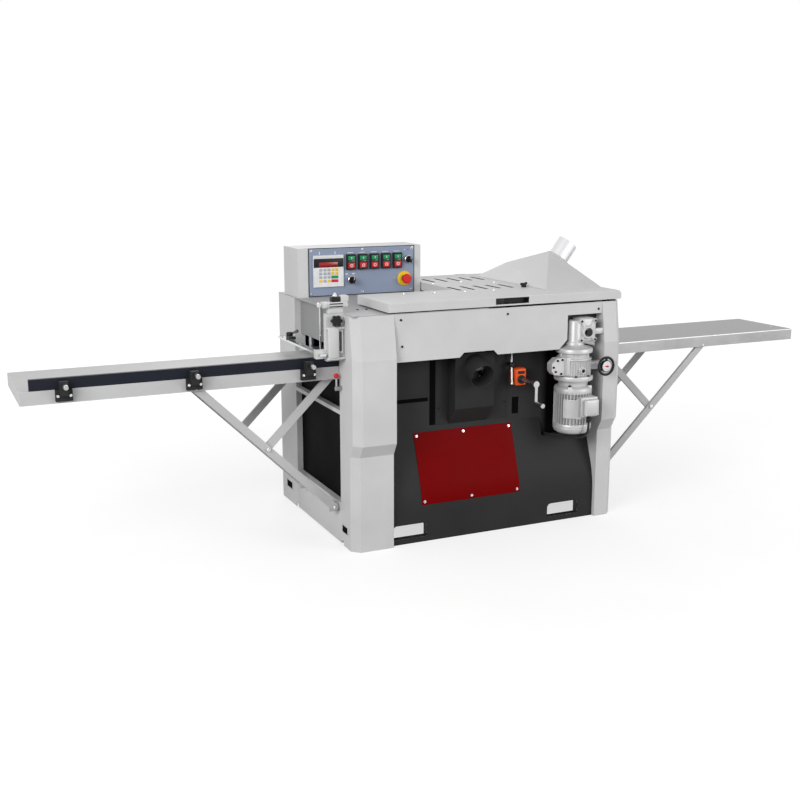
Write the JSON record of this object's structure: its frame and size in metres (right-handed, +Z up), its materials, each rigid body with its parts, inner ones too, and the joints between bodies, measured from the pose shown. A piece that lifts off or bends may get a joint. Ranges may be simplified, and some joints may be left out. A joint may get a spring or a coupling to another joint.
{
  "type": "four sided moulder",
  "caption": "Floor-standing four-sided moulder with a lidded cabinet, cutterheads, powered feed rollers, control box, dust outlets and long infeed and outfeed tables",
  "frame": {"origin": "Centre of the four anchor holes, on the floor under the middle of the cabinet", "axes": "+X along the feed from infeed to outfeed, +Y from the operator's front to the back, +Z up"},
  "size_m": [3.37, 0.936, 1.135],
  "materials": {
    "light_paint": "fine textured light grey powder coat",
    "black_paint": "satin charcoal powder coat",
    "frame_paint": "dark grey primer",
    "red_paint": "satin dark red paint",
    "cast_bed": "planed cast iron",
    "ground_steel": "ground steel",
    "table_steel": "brushed steel top",
    "drive_alloy": "silver painted die casting",
    "bright_steel": "bright plated steel",
    "panel_paint": "grey-blue panel paint",
    "black_plastic": "moulded black plastic",
    "white_plastic": "white moulded bezel",
    "orange_plastic": "orange moulded case",
    "red_plastic": "red moulded plastic",
    "green_plastic": "green moulded plastic",
    "cable_rubber": "black cable sheath",
    "roller_rubber": "black rubber roller"
  },
  "bodies": {
    "cabinet": {"base_frame": "frame_paint", "corner_posts": "light_paint", "front_skirt": "black_paint", "front_plate": "red_paint", "cabinet_panels": "black_paint", "front_fascia": "light_paint", "top_deck": "light_paint", "machine_bed": "cast_bed", "guide_columns": "ground_steel", "front_dust_box": "black_paint", "feed_gearbox": "drive_alloy", "feed_variator": "drive_alloy", "feed_motor": "drive_alloy", "feed_motor_cable": "cable_rubber", "position_indicator": "orange_plastic", "control_box": "light_paint", "control_panel": "panel_paint", "display_unit": "white_plastic", "switch_bodies": "black_plastic", "infeed_table": "light_paint", "outfeed_table": "table_steel", "table_braces": "light_paint", "fence_clamps": "black_paint", "infeed_guide_bar": "bright_steel", "side_pressure_bracket": "light_paint", "spindle_motors": "frame_paint"},
    "lid": {"lid": "light_paint", "dust_hood": "light_paint", "lid_handle": "black_plastic"},
    "head_carriage": {"head_carriage": "frame_paint"},
    "top_cutterhead": {"top_cutterhead": "ground_steel"},
    "bottom_cutterhead": {"bottom_cutterhead": "ground_steel"},
    "right_cutterhead": {"right_cutterhead": "ground_steel"},
    "left_head_slide": {"left_head_slide": "frame_paint"},
    "left_cutterhead": {"left_cutterhead": "ground_steel"},
    "feed_roller_1": {"feed_roller_1": "ground_steel"},
    "feed_roller_2": {"feed_roller_2": "ground_steel"},
    "feed_roller_3": {"feed_roller_3": "ground_steel"},
    "drive_shaft": {"drive_shaft": "ground_steel"},
    "speed_handwheel": {"speed_handwheel": "black_plastic"},
    "width_crank": {"width_crank": "bright_steel"},
    "side_roller": {"side_roller": "roller_rubber"},
    "star_knob": {"star_knob": "black_plastic"},
    "infeed_fence": {"infeed_fence": "black_paint"},
    "guide_lever": {"guide_lever": "bright_steel"},
    "depth_lever": {"depth_lever": "red_plastic"},
    "estop_button": {"estop_button": "red_plastic"},
    "selector_1": {"selector_1": "black_plastic"},
    "selector_2": {"selector_2": "black_plastic"},
    "lid_knob": {"lid_knob": "black_plastic"},
    "start_button_1": {"start_button_1": "green_plastic"},
    "start_button_2": {"start_button_2": "green_plastic"},
    "start_button_3": {"start_button_3": "green_plastic"},
    "start_button_4": {"start_button_4": "green_plastic"},
    "start_button_5": {"start_button_5": "green_plastic"},
    "stop_button_1": {"stop_button_1": "red_plastic"},
    "stop_button_2": {"stop_button_2": "red_plastic"},
    "stop_button_3": {"stop_button_3": "red_plastic"},
    "stop_button_4": {"stop_button_4": "red_plastic"},
    "stop_button_5": {"stop_button_5": "red_plastic"}
  },
  "joints": [
    {"name": "lid_hinge", "type": "hinge", "parent": "cabinet", "child": "lid", "pos_m": [0.28, 0.399, 0.939], "axis": [-1, 0, 0], "range_deg": [0, 70]},
    {"name": "lid_knob_turn", "type": "hinge", "parent": "lid", "child": "lid_knob", "pos_m": [0.276, -0.167, 0.945], "axis": [0, 0, 1], "range_deg": [0, 90]},
    {"name": "head_lift", "type": "slide", "parent": "cabinet", "child": "head_carriage", "axis": [0, 0, 1], "range_m": [-0.04, 0.05]},
    {"name": "top_head_spin", "type": "hinge", "parent": "head_carriage", "child": "top_cutterhead", "pos_m": [0.3, 0, 0.813], "axis": [0, 1, 0], "continuous": true},
    {"name": "bottom_head_spin", "type": "hinge", "parent": "cabinet", "child": "bottom_cutterhead", "pos_m": [-0.33, 0, 0.639], "axis": [0, 1, 0], "continuous": true},
    {"name": "right_head_spin", "type": "hinge", "parent": "cabinet", "child": "right_cutterhead", "pos_m": [-0.055, -0.303, 0.745], "axis": [0, 0, 1], "continuous": true},
    {"name": "left_head_feed", "type": "slide", "parent": "cabinet", "child": "left_head_slide", "axis": [0, 1, 0], "range_m": [-0.165, 0.105]},
    {"name": "left_head_spin", "type": "hinge", "parent": "left_head_slide", "child": "left_cutterhead", "pos_m": [0.09, -0.018, 0.745], "axis": [0, 0, 1], "continuous": true},
    {"name": "feed_roller_1_spin", "type": "hinge", "parent": "head_carriage", "child": "feed_roller_1", "pos_m": [-0.43, 0, 0.786], "axis": [0, 1, 0], "continuous": true},
    {"name": "feed_roller_2_spin", "type": "hinge", "parent": "head_carriage", "child": "feed_roller_2", "pos_m": [-0.225, 0, 0.786], "axis": [0, 1, 0], "continuous": true},
    {"name": "feed_roller_3_spin", "type": "hinge", "parent": "head_carriage", "child": "feed_roller_3", "pos_m": [0.415, 0, 0.786], "axis": [0, 1, 0], "continuous": true},
    {"name": "drive_spin", "type": "hinge", "parent": "cabinet", "child": "drive_shaft", "pos_m": [0.415, -0.4, 0.786], "axis": [0, 1, 0], "continuous": true},
    {"name": "speed_wheel_turn", "type": "hinge", "parent": "cabinet", "child": "speed_handwheel", "pos_m": [0.483, -0.473, 0.65], "axis": [0, 1, 0], "range_deg": [-1080, 1080]},
    {"name": "width_crank_turn", "type": "hinge", "parent": "cabinet", "child": "width_crank", "pos_m": [0.16, -0.4, 0.602], "axis": [0, 1, 0], "range_deg": [-5950, 3790]},
    {"name": "side_roller_spin", "type": "hinge", "parent": "cabinet", "child": "side_roller", "pos_m": [-0.622, -0.3205, 0.805], "axis": [0, 0, 1], "continuous": true},
    {"name": "star_knob_turn", "type": "hinge", "parent": "cabinet", "child": "star_knob", "pos_m": [-0.623, -0.333, 0.883], "axis": [0, 1, 0], "range_deg": [-360, 360]},
    {"name": "fence_adjust", "type": "slide", "parent": "cabinet", "child": "infeed_fence", "axis": [0, 1, 0], "range_m": [0, 0.01]},
    {"name": "guide_lever_turn", "type": "hinge", "parent": "cabinet", "child": "guide_lever", "pos_m": [-0.678, 0.02, 0.78], "axis": [0, 0, 1], "range_deg": [-60, 60]},
    {"name": "depth_lever_turn", "type": "hinge", "parent": "cabinet", "child": "depth_lever", "pos_m": [-0.6, -0.302, 0.621], "axis": [1, 0, 0], "range_deg": [-5, 45]},
    {"name": "estop_press", "type": "slide", "parent": "cabinet", "child": "estop_button", "axis": [0, 1, 0], "range_m": [0, 0.005], "stiffness_N_per_m": 600},
    {"name": "selector_1_turn", "type": "hinge", "parent": "cabinet", "child": "selector_1", "pos_m": [-0.352, 0.16, 0.97], "axis": [0, 1, 0], "range_deg": [-45, 45]},
    {"name": "selector_2_turn", "type": "hinge", "parent": "cabinet", "child": "selector_2", "pos_m": [-0.093, 0.16, 1.046], "axis": [0, 1, 0], "range_deg": [-45, 45]},
    {"name": "start_press_1", "type": "slide", "parent": "cabinet", "child": "start_button_1", "axis": [0, 1, 0], "range_m": [0, 0.003], "stiffness_N_per_m": 500},
    {"name": "start_press_2", "type": "slide", "parent": "cabinet", "child": "start_button_2", "axis": [0, 1, 0], "range_m": [0, 0.003], "stiffness_N_per_m": 500},
    {"name": "start_press_3", "type": "slide", "parent": "cabinet", "child": "start_button_3", "axis": [0, 1, 0], "range_m": [0, 0.003], "stiffness_N_per_m": 500},
    {"name": "start_press_4", "type": "slide", "parent": "cabinet", "child": "start_button_4", "axis": [0, 1, 0], "range_m": [0, 0.003], "stiffness_N_per_m": 500},
    {"name": "start_press_5", "type": "slide", "parent": "cabinet", "child": "start_button_5", "axis": [0, 1, 0], "range_m": [0, 0.003], "stiffness_N_per_m": 500},
    {"name": "stop_press_1", "type": "slide", "parent": "cabinet", "child": "stop_button_1", "axis": [0, 1, 0], "range_m": [0, 0.003], "stiffness_N_per_m": 500},
    {"name": "stop_press_2", "type": "slide", "parent": "cabinet", "child": "stop_button_2", "axis": [0, 1, 0], "range_m": [0, 0.003], "stiffness_N_per_m": 500},
    {"name": "stop_press_3", "type": "slide", "parent": "cabinet", "child": "stop_button_3", "axis": [0, 1, 0], "range_m": [0, 0.003], "stiffness_N_per_m": 500},
    {"name": "stop_press_4", "type": "slide", "parent": "cabinet", "child": "stop_button_4", "axis": [0, 1, 0], "range_m": [0, 0.003], "stiffness_N_per_m": 500},
    {"name": "stop_press_5", "type": "slide", "parent": "cabinet", "child": "stop_button_5", "axis": [0, 1, 0], "range_m": [0, 0.003], "stiffness_N_per_m": 500}
  ],
  "couplings": [
    {"joint": "feed_roller_2_spin", "follows": "feed_roller_1_spin", "ratio": 1},
    {"joint": "feed_roller_3_spin", "follows": "feed_roller_1_spin", "ratio": 1},
    {"joint": "drive_spin", "follows": "feed_roller_1_spin", "ratio": 1},
    {"joint": "width_crank_turn", "follows": "left_head_feed", "rad_per_m": 628.32}
  ]
}
